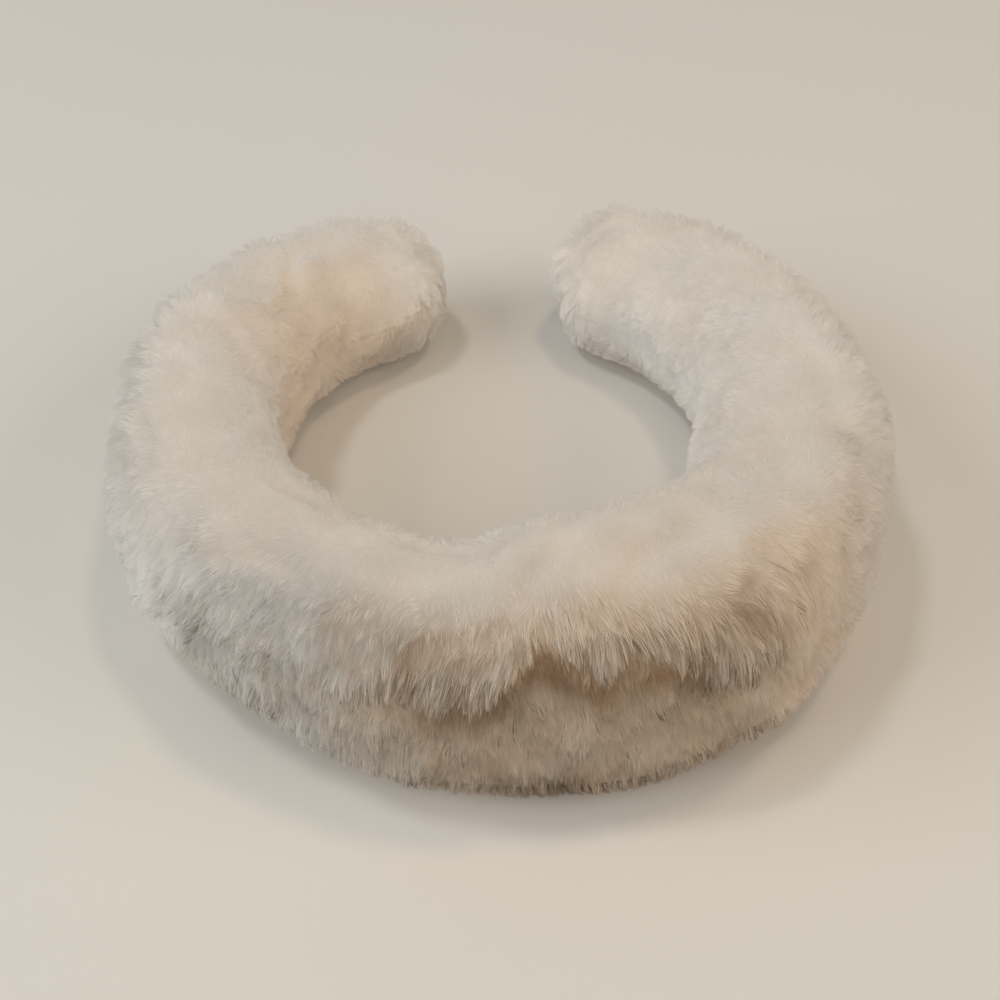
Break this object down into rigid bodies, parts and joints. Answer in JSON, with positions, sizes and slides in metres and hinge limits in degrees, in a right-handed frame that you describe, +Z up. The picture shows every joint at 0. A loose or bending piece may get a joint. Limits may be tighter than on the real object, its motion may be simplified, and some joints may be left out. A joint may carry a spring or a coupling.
{
  "type": "fuzzy headband",
  "caption": "Stiff C-shaped headband wrapped all round in dense off-white fur pile, worn over the head to warm the ears and hold back hair; open between its rounded tips.",
  "frame": {"origin": "under the middle of the headband's plan box, on the surface it rests on", "axes": "+X across the band from its left arm to its right arm, +Y from the front of the band to its open tips, +Z up from the lower edge it rests on"},
  "size_m": [0.1884, 0.1818, 0.0666],
  "materials": {
    "fur_pile": "deep, soft, matt off-white faux fur"
  },
  "bodies": {
    "root": {"fur_band": "fur_pile"}
  },
  "joints": []
}
